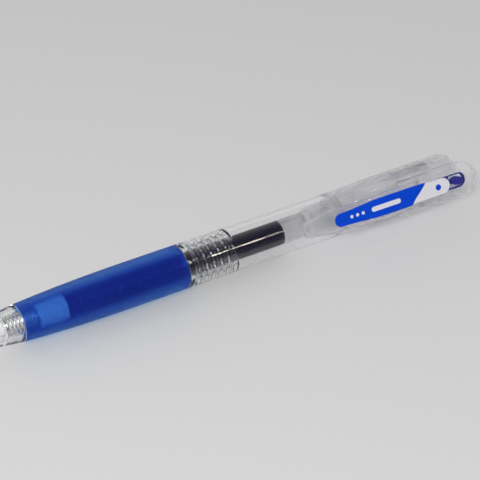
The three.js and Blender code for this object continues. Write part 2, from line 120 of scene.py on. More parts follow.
def smooth(x, start, end):
    """Rises smoothly from 0 at the start to 1 at the end."""
    x = min(max((x - start) / (end - start), 0), 1)
    return x * x * (3 - 2 * x)


def rounded(corners, radius=EDGE_RADIUS, closed=True):
    """The outline with its corners rounded. Points on the axis stay as they are."""
    points = []
    count = len(corners)
    for i, (x, y) in enumerate(corners):
        before, after = Vector(corners[i - 1]), Vector(corners[(i + 1) % count])
        here = Vector((x, y))
        ends = not closed and i in (0, count - 1)
        if ends or abs(y) < ON_AXIS:
            points.append((x, y))
            continue
        to_before, to_after = before - here, after - here
        turn = to_before.angle(to_after, pi)
        if turn > NEARLY_STRAIGHT:
            points.append((x, y))
            continue
        cut = min(radius, to_before.length * LARGEST_CUT, to_after.length * LARGEST_CUT)
        start, end = here + to_before.normalized() * cut, here + to_after.normalized() * cut
        for share in spaced(0, 1, EDGE_STEPS):
            curve = start.lerp(here, share).lerp(here.lerp(end, share), share)
            points.append((curve.x, curve.y))
    return points


def bridge(bm, ring, following):
    """Faces between two rings of vertices, either of which may be a single point."""
    count = max(len(ring), len(following))
    for k in range(count):
        after = (k + 1) % count
        corners = [ring[k % len(ring)], ring[after % len(ring)]]
        corners += [following[after % len(following)], following[k % len(following)]]
        unique = [v for i, v in enumerate(corners) if v not in corners[:i]]
        if len(unique) > 2:
            bm.faces.new(unique)


def skin(rings, closed=True):
    """A mesh over rings of points. It closes on itself, or ends in caps."""
    bm = bmesh.new()
    made = [[bm.verts.new(point) for point in ring] for ring in rings]
    for i in range(len(made) - (0 if closed else 1)):
        bridge(bm, made[i], made[(i + 1) % len(made)])
    if not closed:
        for ring in (made[0], made[-1]):
            if len(ring) > 2:
                bm.faces.new(ring)
    bmesh.ops.recalc_face_normals(bm, faces=bm.faces)
    return bm


def ring_at(u, radius, sides=SIDES):
    """A ring of points round the axis. radius is a number, or a function of the angle from +t to +n."""
    if not callable(radius) and radius < ON_AXIS:
        return [(u, 0, 0)]
    points = []
    for k in range(sides):
        angle = 2 * pi * k / sides
        r = radius(angle) if callable(radius) else radius
        points.append((u, r * cos(angle), r * sin(angle)))
    return points


def turned(outline, radius=EDGE_RADIUS, sides=SIDES):
    """A turned piece from its closed outline of (u, r) corners."""
    return skin([ring_at(u, r, sides) for u, r in rounded(outline, radius)])


def mesh_of(bm, name):
    mesh = bpy.data.meshes.new(name)
    bm.to_mesh(mesh)
    bm.free()
    return mesh


def place(name, bm, material, crease=38):
    """A finished piece in the row frame, shaded smooth except at sharp edges."""
    mesh = mesh_of(bm, name)
    mesh.transform(PEN)
    mesh.shade_smooth()
    mesh.set_sharp_from_angle(angle=radians(crease))
    mesh.materials.append(material)
    obj = bpy.data.objects.new(name, mesh)
    bpy.context.scene.collection.objects.link(obj)
    weighted = obj.modifiers.new("weighted_normals", "WEIGHTED_NORMAL")
    weighted.keep_sharp = True
    return obj


def combined(base, others, operation):
    """Joins or cuts one mesh with others, and gives a new one."""
    scene = bpy.context.scene.collection
    target = bpy.data.objects.new("work", mesh_of(base, "work"))
    scene.objects.link(target)
    tools = []
    for other in others:
        tool = bpy.data.objects.new("tool", mesh_of(other, "tool"))
        scene.objects.link(tool)
        tools.append(tool)
        modifier = target.modifiers.new("boolean", "BOOLEAN")
        modifier.object = tool
        modifier.operation = operation
        modifier.solver = "EXACT"
    graph = bpy.context.evaluated_depsgraph_get()
    result = bmesh.new()
    result.from_mesh(target.evaluated_get(graph).to_mesh())
    for obj in [target, *tools]:
        bpy.data.objects.remove(obj)
    bmesh.ops.remove_doubles(result, verts=result.verts, dist=MERGE_DISTANCE)
    return result


def block(u_range, t_range, n_range, bevel):
    """A box with rounded edges."""
    bm = bmesh.new()
    ranges = (u_range, t_range, n_range)
    size = [high - low for low, high in ranges]
    centre = [(high + low) / 2 for low, high in ranges]
    bmesh.ops.create_cube(bm, size=1, matrix=Matrix.Translation(centre) @ Matrix.Diagonal((*size, 1)))
    bmesh.ops.bevel(bm, geom=bm.edges[:], offset=bevel, segments=3, affect="EDGES", profile=0.5)
    return bm


def sector(u_range, r_range, middle, half_angle):
    """A piece of a ring, centred on an angle from +t towards +n."""
    arc = spaced(middle - half_angle, middle + half_angle, 8)
    outline = [(r_range[1], a) for a in arc] + [(r_range[0], a) for a in reversed(arc)]
    rings = [[(u, r * cos(a), r * sin(a)) for r, a in outline] for u in u_range]
    return skin(rings, closed=False)


# ---------------------------------------------------------------- material helpers

class Material:
    """A node material under construction. Positions are the row frame's, in metres."""

    def __init__(self, name):
        self.data = bpy.data.materials.new(name)
        self.data.use_nodes = True
        self.tree = self.data.node_tree
        self.tree.nodes.clear()
        self.place = self.node("ShaderNodeTexCoord").outputs["Object"]

    def node(self, kind, inputs=None, **properties):
        made = self.tree.nodes.new(kind)
        for key, value in properties.items():
            setattr(made, key, value)
        for key, value in (inputs or {}).items():
            if isinstance(value, bpy.types.NodeSocket):
                self.tree.links.new(value, made.inputs[key])
            else:
                made.inputs[key].default_value = value
        return made

    def noise(self, scale, detail=3, stretch=(1, 1, 1), distortion=0.0):
        spot = self.node("ShaderNodeMapping", {"Vector": self.place, "Scale": stretch})
        inputs = {"Vector": spot.outputs[0], "Scale": scale, "Detail": detail, "Distortion": distortion}
        return self.node("ShaderNodeTexNoise", inputs).outputs["Fac"]

    def between(self, factor, low, high, start=0.3, end=0.7):
        inputs = {"Value": factor, "From Min": start, "From Max": end, "To Min": low, "To Max": high}
        return self.node("ShaderNodeMapRange", inputs).outputs[0]

    def blend(self, factor, first, second):
        made = self.node("ShaderNodeMix", data_type="RGBA")
        for socket, value in ((made.inputs[0], factor), (made.inputs[6], first), (made.inputs[7], second)):
            if isinstance(value, bpy.types.NodeSocket):
                self.tree.links.new(value, socket)
            else:
                socket.default_value = value if isinstance(value, float) else (*value, 1)
        return made.outputs[2]

    def bump(self, height, strength, distance):
        inputs = {"Height": height, "Strength": strength, "Distance": distance}
        return self.node("ShaderNodeBump", inputs).outputs[0]

    def finish(self, shader):
        output = self.node("ShaderNodeOutputMaterial")
        self.tree.links.new(shader, output.inputs["Surface"])
        return self.data

    def lit_through(self, shader, tint):
        """Shadow and diffuse rays pass straight through in the piece's tint, which lights its inside."""
        path = self.node("ShaderNodeLightPath")
        either = self.node("ShaderNodeMath", operation="MAXIMUM")
        self.tree.links.new(path.outputs["Is Shadow Ray"], either.inputs[0])
        self.tree.links.new(path.outputs["Is Diffuse Ray"], either.inputs[1])
        window = self.node("ShaderNodeBsdfTransparent", {"Color": (*tint, 1)})
        mix = self.node("ShaderNodeMixShader", {0: either.outputs[0], 1: shader, 2: window.outputs[0]})
        return mix.outputs[0]


def clear_plastic(name, tint, roughness, ior=1.49, specular=0.12, straight=0.0, clarity=1.0):
    """Polished clear moulding with faint flow lines and rubbed patches. The straight share of the light
    isn't bent, which keeps walls inside walls pale. A clarity below 1 makes it milky."""
    m = Material(name)
    rubbed = m.noise(260, 4, (0.4, 1, 1))
    flow = m.noise(90, 2, (0.15, 1, 1), 0.4)
    principled = m.node("ShaderNodeBsdfPrincipled", {
        "Base Color": m.blend(m.between(flow, 0.0, 1.0), tint, [c * 0.985 for c in tint]),
        "Roughness": m.between(rubbed, roughness, roughness + 0.05, 0.45, 0.8),
        "IOR": ior,
        "Specular IOR Level": specular,
        "Transmission Weight": clarity,
        "Normal": m.bump(flow, 0.25, 0.00006),
    })
    window = m.node("ShaderNodeBsdfTransparent", {"Color": (*tint, 1)})
    mix = m.node("ShaderNodeMixShader", {0: straight, 1: principled.outputs[0], 2: window.outputs[0]})
    return m.finish(m.lit_through(mix.outputs[0], tint))


def grip_rubber():
    """Translucent blue rubber: what lies close under it shows, blurred."""
    m = Material("grip_rubber")
    fine = m.noise(2600, 3)
    cloud = m.noise(160, 3)
    grain = m.bump(fine, 0.2, 0.00002)
    share = m.between(cloud, 0.0, 1.0)
    body = m.node("ShaderNodeBsdfPrincipled", {
        "Base Color": m.blend(share, (0.006, 0.018, 0.34), (0.008, 0.022, 0.38)),
        "Roughness": m.between(fine, 0.38, 0.5),
        "Specular IOR Level": 0.12,
        "Normal": grain,
    })
    glow = m.node("ShaderNodeBsdfPrincipled", {
        "Base Color": m.blend(share, (0.16, 0.5, 1.0), (0.18, 0.53, 1.0)),
        "Roughness": m.between(fine, 0.42, 0.5),
        "IOR": 1.15,
        "Specular IOR Level": 0.2,
        "Transmission Weight": 1.0,
        "Normal": grain,
    })
    glow_share = 0.68
    mix = m.node("ShaderNodeMixShader", {0: glow_share, 1: body.outputs[0], 2: glow.outputs[0]})
    return m.finish(m.lit_through(mix.outputs[0], (0.72, 0.84, 1.0)))


def solid_plastic(name, colour, roughness, specular=0.5, variation=0.06, subsurface=0.0):
    """Opaque plastic, print or ink, with slightly uneven colour and gloss."""
    m = Material(name)
    cloud = m.noise(300, 4)
    fine = m.noise(2200, 2)
    principled = m.node("ShaderNodeBsdfPrincipled", {
        "Base Color": m.blend(m.between(cloud, 0.0, 1.0), colour, [c * (1 - variation) for c in colour]),
        "Roughness": m.between(fine, roughness, roughness + 0.12),
        "Specular IOR Level": specular,
        "Subsurface Weight": subsurface,
        "Subsurface Scale": 0.0006,
        "Normal": m.bump(fine, 0.15, 0.00001),
    })
    return m.finish(principled.outputs[0])


def steel(name, colour, roughness, stretch):
    """Bright metal with fine marks from drawing or turning."""
    m = Material(name)
    marks = m.noise(1800, 5, stretch)
    principled = m.node("ShaderNodeBsdfPrincipled", {
        "Base Color": m.blend(m.between(marks, 0.0, 1.0), colour, [c * 0.86 for c in colour]),
        "Metallic": 1.0,
        "Roughness": m.between(marks, roughness, roughness + 0.16),
        "Normal": m.bump(marks, 0.2, 0.000012),
    })
    return m.finish(principled.outputs[0])


CLEAR = clear_plastic("clear_plastic", (0.985, 0.986, 0.99), 0.02)
HOUSING = clear_plastic("housing_clear_plastic", (0.985, 0.985, 0.993), 0.06, specular=0.4, straight=0.3,
                        clarity=0.97)
CLIP = clear_plastic("clip_clear_plastic", (0.988, 0.988, 0.995), 0.04, specular=0.5, straight=0.4,
                     clarity=0.85)
INNER = clear_plastic("inner_clear_plastic", (0.98, 0.981, 0.99), 0.12, straight=0.7)
TUBE = clear_plastic("tube_plastic", (0.98, 0.981, 0.985), 0.04, 1.3, specular=0.05)
GEL = clear_plastic("follower_gel", (0.975, 0.976, 0.98), 0.03, 1.44, specular=0.05, straight=0.4)
RUBBER = grip_rubber()
SPRING_STEEL = steel("spring_steel", (0.78, 0.77, 0.76), 0.16, (0.3, 1, 1))
TIP_STEEL = steel("tip_steel", (0.75, 0.74, 0.73), 0.2, (6, 0.4, 0.4))
WHITE = solid_plastic("white_plastic", (0.94, 0.95, 0.96), 0.4, subsurface=0.15)
INK = solid_plastic("ink", (0.004, 0.002, 0.018), 0.4, 0.02, variation=0.3)
BLUE_PRINT = solid_plastic("blue_print", (0.0, 0.068, 0.72), 0.35, 0.15)
WHITE_PRINT = solid_plastic("white_print", (0.86, 0.86, 0.92), 0.35, 0.3)
BLUE_PLASTIC = solid_plastic("blue_plastic", (0.03, 0.03, 0.28), 0.35, 0.3)


def mount(obj, body, nodes):
    """The piece rides on a body, and the CAD nodes that it stands for are hidden."""
    if body:
        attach(obj, body)
    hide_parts(*nodes)


def inner_wall(obj):
    """A clear piece inside others: shadow and diffuse rays miss it, as many walls in a row turn dark."""
    obj.visible_shadow = False
    obj.visible_diffuse = False
    return obj


# ---------------------------------------------------------------- front section

THREAD_PITCH = 2.0
THREAD_STEP = 0.08
THREAD_CREST = 4.2
THREAD_ROOT = 3.95
RIDGE_RISE = (0.08, 0.16)       # in shares of the pitch
RIDGE_FALL = (0.56, 0.64)
NOSE_MOUTH_R = 1.7
NOSE_END_SLOPE = 0.11
MOUTH_BORE = 1.25
TIP_BORE = 1.95
SPRING_SEAT = 14.4
SPRING_BORE = 2.9
SPIGOT_BORE = 3.3
CHAMFER = 0.55
GRIP_CORE_R = 3.75
GRIP_FRONT_R = 4.6
GRIP_FULL = 48                  # the grip is as wide as the barrel behind this u
DIMPLE_ROWS = 8
DIMPLE_COLUMNS = 6
DIMPLE_SPACING = 5.2
FIRST_DIMPLE = 3.4              # behind the grip's front
COLUMN_TURN = radians(74)
DIMPLE_RADIUS = 1.1
DIMPLE_REACH = 1.3              # in dimple radii
RIM_HEIGHT = 0.08
DISH_DEPTH = 0.03
DOT_HEIGHT = 0.07
UNROLLED_R = 5                  # turns angles round the grip into lengths
WIRE_R = 0.2
WIRE_SIDES = 10
CLOSED_COILS = 1.2              # at each end of the spring
OPEN_COILS = 8
STEPS_PER_COIL = 40
HOLDER_SHOULDER = 10.9          # behind the tip holder's front


def nose_radius(u, end):
    """The nose widens along a parabola to the grip's front, where it has NOSE_END_SLOPE."""
    bend = (NOSE_END_SLOPE * end - (GRIP_FRONT_R - NOSE_MOUTH_R)) / end ** 2
    return NOSE_MOUTH_R + (NOSE_END_SLOPE - 2 * bend * end) * u + bend * u * u


def thread_rings(start, end, base, peak):
    """Rings of a helical ridge, or of a helical groove, that fades in and out between two radii."""
    def radius(u, angle):
        phase = (u / THREAD_PITCH - angle / (2 * pi)) % 1
        ridge = smooth(phase, *RIDGE_RISE) - smooth(phase, *RIDGE_FALL)
        fade = smooth(u, start, start + 0.8) * (1 - smooth(u, end - 1.2, end - 0.2))
        return base + (peak - base) * ridge * fade

    steps = ceil((end - start) / THREAD_STEP)
    return [ring_at(u, lambda a, u=u: radius(u, a)) for u in spaced(start, end, steps)]


def front_barrel():
    end = span("front_barrel")[1]
    grip_front, grip_end = span("grip_sleeve")
    nose_end = grip_front - 0.06
    collar = (grip_end + 0.08, span("rear_barrel")[0] - 0.1)
    outer = [(u, nose_radius(u, nose_end)) for u in spaced(0, nose_end, 24)]
    outer += [(nose_end, GRIP_CORE_R), (collar[0], GRIP_CORE_R), (collar[0], BARREL_R)]
    outer += [(collar[1], BARREL_R), (collar[1], THREAD_ROOT)]
    bore = [
        (0, MOUTH_BORE), (5, MOUTH_BORE), (6.5, TIP_BORE), (SPRING_SEAT, TIP_BORE),
        (SPRING_SEAT, SPRING_BORE), (20, SPRING_BORE), (20.4, SPIGOT_BORE),
    ]
    edge = 0.14
    front_outline = rounded(outer, edge, closed=False)
    # The spigot ends in a chamfer.
    spigot_end = [(end - CHAMFER, THREAD_ROOT), (end, SPIGOT_BORE + 0.2), (end, SPIGOT_BORE)]
    back_outline = rounded([*spigot_end, *bore[::-1]], edge, closed=False)
    rings = [ring_at(u, r) for u, r in front_outline]
    rings += thread_rings(collar[1] + 0.3, end - 0.6, THREAD_ROOT, THREAD_CREST)
    rings += [ring_at(u, r) for u, r in back_outline]
    mount(place("front_barrel_clear", skin(rings), CLEAR), "front_section", ["front_barrel"])


def crowded(start, end, centres, reach_mm, fine, coarse):
    """Positions from start to end: close together near the centres, and wide apart elsewhere."""
    values, here = [start], start
    slack = 1e-6
    while here < end - slack:
        near = any(abs(here + fine / 2 - c) < reach_mm for c in centres)
        gap = min([c - reach_mm - here for c in centres if c - reach_mm > here + slack], default=coarse)
        here = min(end, here + (fine if near else min(coarse, max(fine, gap))))
        values.append(here)
    return values


def dimple(distance):
    """Height of a dimple's surface: a thin raised ring round a shallow dish with a small dot."""
    x = distance / DIMPLE_RADIUS
    if x > DIMPLE_REACH:
        return 0.0
    rim = RIM_HEIGHT * max(0.0, 1 - ((x - 1) / 0.16) ** 2)
    dish = DISH_DEPTH * (1 - smooth(x, 0.5, 0.95))
    dot = DOT_HEIGHT * (1 - smooth(x, 0.0, 0.28))
    return rim - dish + dot


def grip_sleeve():
    front, end = span("grip_sleeve")
    rows = [front + FIRST_DIMPLE + DIMPLE_SPACING * i for i in range(DIMPLE_ROWS)]
    columns = [COLUMN_TURN + 2 * pi * i / DIMPLE_COLUMNS for i in range(DIMPLE_COLUMNS)]

    def outer_radius(u):
        rise = min(max((GRIP_FULL - u) / (GRIP_FULL - front), 0), 1)
        return BARREL_R - (BARREL_R - GRIP_FRONT_R) * rise ** 2

    reach_mm = DIMPLE_RADIUS * DIMPLE_REACH
    us = crowded(front + 0.25, end - 0.25, rows, reach_mm, fine=0.11, coarse=0.8)
    unrolled = [c % (2 * pi) * UNROLLED_R for c in columns]
    around = crowded(0, 2 * pi * UNROLLED_R, unrolled, reach_mm, fine=0.12, coarse=0.6)
    angles = [x / UNROLLED_R for x in around[:-1]]
    inner = GRIP_CORE_R + 0.06

    def radius_at(u, angle):
        r = outer_radius(u)
        for row in rows:
            if abs(u - row) > reach_mm:
                continue
            for column in columns:
                turn = (angle - column + pi) % (2 * pi) - pi
                r += dimple(hypot(u - row, turn * outer_radius(row)))
        return r

    def ring(u, radii):
        return [(u, r * cos(a), r * sin(a)) for r, a in zip(radii, angles)]

    def outer_ring(u, inset=0.0):
        return ring(u, [radius_at(u, a) - inset for a in angles])

    lip = [(front, 0.28), (front + 0.04, 0.14), (front + 0.12, 0.04)]
    rings = [outer_ring(u, inset) for u, inset in lip]
    rings += [outer_ring(u) for u in us]
    rings += [outer_ring(end + front - u, inset) for u, inset in lip[::-1]]
    rings += [ring(u, [inner] * len(angles)) for u in (end, front)]
    obj = place("grip_sleeve_rubber", skin(rings), RUBBER, crease=60)
    mount(obj, "front_section", ["grip_sleeve"])


def tube_along(points, radius):
    """A round wire along a list of points, with flat ends."""
    rings = []
    side = Vector((1, 0, 0))
    for i, point in enumerate(points):
        ahead = (points[min(i + 1, len(points) - 1)] - points[max(i - 1, 0)]).normalized()
        normal = (side - ahead * side.dot(ahead)).normalized()
        other = ahead.cross(normal)
        rings.append([point + (normal * cos(a) + other * sin(a)) * radius
                      for a in (2 * pi * k / WIRE_SIDES for k in range(WIRE_SIDES))])
    return skin(rings, closed=False)


def return_spring():
    """A coil whose end turns lie close together. In the pen it shortens as the refill slides forward; this
    mesh keeps one length.
    """
    start, end = span("return_spring")
    coil_r = reach("return_spring") - WIRE_R
    turns = OPEN_COILS + 2 * CLOSED_COILS
    free = end - start - 2 * WIRE_R - 4 * WIRE_R * CLOSED_COILS
    points = []
    for i in range(int(turns * STEPS_PER_COIL) + 1):
        turn = i / STEPS_PER_COIL
        low = min(turn, CLOSED_COILS) * 2 * WIRE_R
        high = max(turn - CLOSED_COILS - OPEN_COILS, 0) * 2 * WIRE_R
        middle = min(max(turn - CLOSED_COILS, 0), OPEN_COILS)
        u = start + WIRE_R + low + high + middle * free / OPEN_COILS
        points.append(Vector((u, coil_r * cos(2 * pi * turn), coil_r * sin(2 * pi * turn))))
    obj = place("return_spring_wire", tube_along(points, WIRE_R), SPRING_STEEL, crease=60)
    mount(obj, "front_section", ["return_spring"])
    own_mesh(obj)


# ---------------------------------------------------------------- barrel and housing

BARREL_BORE = 4.42
BARREL_THREAD_ROOT = 4.7
BARREL_THREAD_END = 12.2        # behind the barrel's front
PLUG_R = 4.85                   # of the barrel's end that sits in the housing
PLUG_BORE = 4.35


def rear_barrel():
    front, end = span("rear_barrel")
    shoulder = span("rear_housing")[0] - 0.06
    thread_end = front + BARREL_THREAD_END
    outline = rounded([
        (front, BARREL_BORE), (front, BARREL_R), (shoulder, BARREL_R), (shoulder, PLUG_R), (end, PLUG_R),
        (end, PLUG_BORE), (shoulder, PLUG_BORE), (shoulder - 1, BARREL_BORE),
        (thread_end + 0.2, BARREL_BORE),
    ], closed=False)
    rings = [ring_at(u, r) for u, r in outline]
    rings += thread_rings(front + 0.3, thread_end, BARREL_BORE, BARREL_THREAD_ROOT)[::-1]
    mount(place("rear_barrel_clear", skin(rings), CLEAR), "barrel", ["rear_barrel"])


HOUSING_SIDES = 144
HOUSING_SQUARE = 117            # the housing has its straight-sided section behind this u
HOUSING_BORE = 4.4
SOCKET_R = 5.0
GUIDE_U = (122, 130.5)
GUIDE_R = (3.7, 4.6)
GUIDE_ANGLES = (50, 130, 230, 310)
HOUSING_HALF_WIDTH = 5.6
HOUSING_TOP = 5.5
HOUSING_BELLY = 5.1
HOUSING_CORNER = 2.4
SKIRT_ANGLE = radians(10)


def square_reach(angle):
    """How far the housing's straight-sided section reaches from the axis."""
    folded = atan2(sin(angle), abs(cos(angle)))
    skirt = HOUSING_HALF_WIDTH / cos(SKIRT_ANGLE)
    belly = SKIRT_ANGLE + acos(HOUSING_BELLY / skirt)
    if folded < -belly:
        return HOUSING_BELLY
    if folded < -SKIRT_ANGLE:
        return HOUSING_BELLY / cos(folded + belly)
    corner_t, corner_n = HOUSING_HALF_WIDTH - HOUSING_CORNER, HOUSING_TOP - HOUSING_CORNER
    if folded < atan2(corner_n, HOUSING_HALF_WIDTH):
        return HOUSING_HALF_WIDTH / cos(folded)
    if folded > atan2(HOUSING_TOP, corner_t):
        return HOUSING_TOP / sin(folded)
    along = corner_t * cos(folded) + corner_n * sin(folded)
    return along + sqrt(along ** 2 - corner_t ** 2 - corner_n ** 2 + HOUSING_CORNER ** 2)


def rear_housing():
    front, end = span("rear_housing")

    def outer(u, inset=0.0):
        share = smooth(u, front, HOUSING_SQUARE)
        return ring_at(u, lambda a: BARREL_R + (square_reach(a) - BARREL_R) * share - inset, HOUSING_SIDES)

    rings = [outer(front, 0.12), outer(front + 0.05, 0.04), outer(front + 0.14)]
    rings += [outer(u) for u in spaced(front + 0.6, HOUSING_SQUARE, 16)]
    rings += [outer(u) for u in spaced(HOUSING_SQUARE + 2, end - 1.0, 8)]
    rings += [outer(end - d, inset) for d, inset in ((0.6, 0.05), (0.3, 0.16), (0.12, 0.32), (0, 0.6))]
    socket = span("rear_barrel")[1] + 0.1
    bore = [
        (end, HOUSING_BORE + 0.1), (end - 0.1, HOUSING_BORE), (socket, HOUSING_BORE),
        (socket, SOCKET_R), (front + 0.1, SOCKET_R), (front, SOCKET_R + 0.08),
    ]
    rings += [ring_at(u, r, HOUSING_SIDES) for u, r in bore]
    guides = [sector(GUIDE_U, GUIDE_R, radians(angle), radians(7)) for angle in GUIDE_ANGLES]
    body = combined(skin(rings), guides, "UNION")
    top_slot = block((124.2, end + 3), (-2.2, 2.2), (3, 9), 0.3)
    side_slots = block((121.8, 132), (-8, 8), (1.3, 2.7), 0.2)
    body = combined(body, [top_slot, side_slots], "DIFFERENCE")
    obj = place("rear_housing_clear", body, HOUSING, crease=30)
    mount(obj, "barrel", ["rear_housing"])


# ---------------------------------------------------------------- clip, button body and cam

PAD_END = 101.8
PAD_FRONT_R = 1.9
PAD_HALF_WIDTH = 3.1
ARM_FRONT_HALF_WIDTH = 2.75
ARM_END_HALF_WIDTH = 3.3
HEAD_FULL = 131.5
HEAD_HALF_WIDTH = 4.4
HEAD_THICKNESS = 2.7
ARM_THICKNESS = 1.5
CLIP_TOP = 8.0                  # at the pad's rear edge
CLIP_RISE = radians(1.7)
CLIP_CORNER = 0.5
CLIP_EDGE = 0.55                # rounding of the clip's two ends
PAD_DROOP = 0.25                # of the pad's top, at its front
PAD_UNDERCUT = 0.5              # of its underside
BOSS_END = 139.4
BOSS_R = 3.9
BOSS_BORE = 3.0
INSERT_HALF_WIDTH = 1.9
INSERT_RIM = 0.4


def clip_top(u):
    """Height of the clip's top face, which rises towards the rear."""
    return CLIP_TOP + (u - PAD_END) * tan(CLIP_RISE)


def clip_half_width(u, front, end):
    """Half the clip's width: a round pad's front, the pad, the arm, and a round rear end."""
    pad_centre = front + PAD_FRONT_R
    if u < pad_centre:
        return sqrt(max(0, PAD_FRONT_R ** 2 - (pad_centre - u) ** 2))
    if u < PAD_END:
        return PAD_FRONT_R + (PAD_HALF_WIDTH - PAD_FRONT_R) * (u - pad_centre) / (PAD_END - pad_centre)
    if u > end - HEAD_HALF_WIDTH:
        return sqrt(max(0, HEAD_HALF_WIDTH ** 2 - (u - end + HEAD_HALF_WIDTH) ** 2))
    hinge = span("clip_arm")[1]
    arm = ARM_FRONT_HALF_WIDTH + (ARM_END_HALF_WIDTH - ARM_FRONT_HALF_WIDTH) * smooth(u, PAD_END, hinge)
    arm += (HEAD_HALF_WIDTH - ARM_END_HALF_WIDTH) * smooth(u, hinge - 2, HEAD_FULL)
    step = 1 - smooth(u, PAD_END, PAD_END + 0.8)
    return arm + (PAD_HALF_WIDTH - ARM_FRONT_HALF_WIDTH) * step


def clip_heights(u, front, end):
    """Underside and top of the clip."""
    pad_bottom = lowest("clip_arm")
    hinge = span("clip_arm")[1]
    high = clip_top(u) - PAD_DROOP * (1 - smooth(u, front, front + 5))
    thickness = ARM_THICKNESS + (HEAD_THICKNESS - ARM_THICKNESS) * smooth(u, hinge, hinge + 2)
    low = clip_top(u) - thickness
    low += (pad_bottom - low) * (1 - smooth(u, PAD_END - 0.4, PAD_END + 0.6))
    low += PAD_UNDERCUT * (1 - smooth(u, front, front + 2.2)) ** 2
    for distance in (u - front, end - u):
        if distance < CLIP_EDGE:
            shrink = CLIP_EDGE - sqrt(max(0, CLIP_EDGE ** 2 - (CLIP_EDGE - distance) ** 2))
            low, high = low + shrink, high - shrink
    return low, high


def clip_section(u, half_width, low, high):
    """A ring of points round the clip's section, a flat bar with rounded corners."""
    corner = min(CLIP_CORNER, half_width * 0.95, (high - low) * 0.48)
    points = []
    for quarter, (side, level) in enumerate(((1, high), (-1, high), (-1, low), (1, low))):
        t = side * (half_width - corner)
        n = level - corner if level == high else level + corner
        for step in range(5):
            angle = (quarter + step / 4) * pi / 2
            points.append((u, t + corner * cos(angle), n + corner * sin(angle)))
    return points


def clip():
    front, end = span("clip_arm")[0], span("clip_head")[1]
    stations = [front + 0.02 + (PAD_END - front) * (1 - cos(x)) for x in spaced(0, pi / 2, 22)]
    stations += spaced(PAD_END + 0.15, PAD_END + 1.6, 8) + spaced(PAD_END + 2.2, end - HEAD_HALF_WIDTH, 40)
    stations += [end - HEAD_HALF_WIDTH + (HEAD_HALF_WIDTH - 0.02) * sin(x) for x in spaced(0.1, pi / 2, 16)]
    rings = []
    for u in stations:
        low, high = clip_heights(u, front, end)
        rings.append(clip_section(u, clip_half_width(u, front, end), low, high))
    boss_front = span("push_cam")[1] + 0.1
    boss = turned([
        (boss_front, BOSS_R), (BOSS_END, BOSS_R), (BOSS_END, 0), (BOSS_END - 1, 0),
        (BOSS_END - 1, BOSS_BORE), (boss_front, BOSS_BORE),
    ], radius=0.3)
    neck = block((130.2, 139.2), (-1.9, 1.9), (3.4, 6.8), 0.25)
    body = combined(skin(rings, closed=False), [neck, boss], "UNION")
    insert_front, insert_end = insert_span()
    pocket_outline = tongue(insert_front - 0.1, insert_end + 0.15, INSERT_HALF_WIDTH + 0.15)
    pocket = print_patch(pocket_outline, -2.0, 1.0, edge=0)
    return place("clip_clear", combined(body, [pocket], "DIFFERENCE"), CLIP, crease=34)


def print_patch(outline, low, high, edge=0.06):
    """A thin patch from its outline in u and t. Its heights count from the clip's top face."""
    count = len(outline)
    centre = Vector((sum(p[0] for p in outline) / count, sum(p[1] for p in outline) / count))

    def ring(level, inset):
        points = []
        for p in outline:
            shift = (Vector(p) - centre).normalized() * inset
            points.append((p[0] - shift.x, p[1] - shift.y, clip_top(p[0]) + level))
        return points

    rings = [ring(low, 0), ring(high - edge / 2, 0)]
    if edge:
        rings.append(ring(high, edge))
    return skin(rings, closed=False)


def tongue(front, end, half_width):
    """An outline with a square front and a round rear end."""
    centre = end - half_width
    arc = [(centre + half_width * cos(a), half_width * sin(a)) for a in spaced(-pi / 2, pi / 2, 16)]
    return [(front, half_width), (front, -half_width), *arc]


def insert_span():
    """Where the visual insert starts and ends. It is a little shorter than the CAD's."""
    front, end = span("colour_insert")
    return front + 0.1, end


BLUE_FRONT = 101.1
BLUE_FRONT_R = 1.65
BLUE_HALF_WIDTH = 2.3
WHITE_END = 134
WHITE_HALF_WIDTH = 1.95
DOT_R = 0.45
DOT_PLACES = (105.8, 107.4, 109.0)
LONG_BAR = (111.4, 119.8)
WHITE_DOT = (129.9, 131.5)


def label_boundary(share):
    """The slanted line between the blue and the white label, from -t to +t."""
    t = -2.2 + 4.4 * share
    return 122.7 + 4.9 * smooth(share, -0.15, 1.2), t


def blue_outline():
    centre = BLUE_FRONT + BLUE_FRONT_R

    def half_width(x):
        return BLUE_FRONT_R + (BLUE_HALF_WIDTH - BLUE_FRONT_R) * smooth(x, 0, 12)

    nose = [(centre - BLUE_FRONT_R * sin(a), BLUE_FRONT_R * cos(a)) for a in spaced(0, pi, 16)]
    lower = [(centre + x, -half_width(x)) for x in spaced(1, 18, 12)]
    corner = [(121.4, -BLUE_HALF_WIDTH), (122.1, -BLUE_HALF_WIDTH + 0.04)]
    boundary = [label_boundary(share) for share in spaced(0, 1, 12)]
    upper = [(centre + x, half_width(x)) for x in spaced(22, 1, 16)]
    return nose + lower + corner + boundary + upper


def white_outline():
    width = WHITE_HALF_WIDTH
    centre = WHITE_END - width
    boundary = [label_boundary(share) for share in spaced(1, 0, 12)]
    slanted = [(u + 0.12, t) for u, t in boundary]
    lower = [(u, -width) for u in spaced(124.2, centre, 6)]
    end = [(centre + width * cos(a), width * sin(a)) for a in spaced(-pi / 2, pi / 2, 16)][1:-1]
    upper = [(u, width) for u in spaced(centre, 129.2, 4)]
    return slanted + lower + end + upper


def bar(u_range, half_width):
    """The outline of a bar with round ends."""
    start, end = u_range[0] + half_width, u_range[1] - half_width
    arc = [(half_width * sin(a), half_width * cos(a)) for a in spaced(0, pi, 10)]
    return [(start - x, t) for x, t in arc] + [(end + x, -t) for x, t in arc]


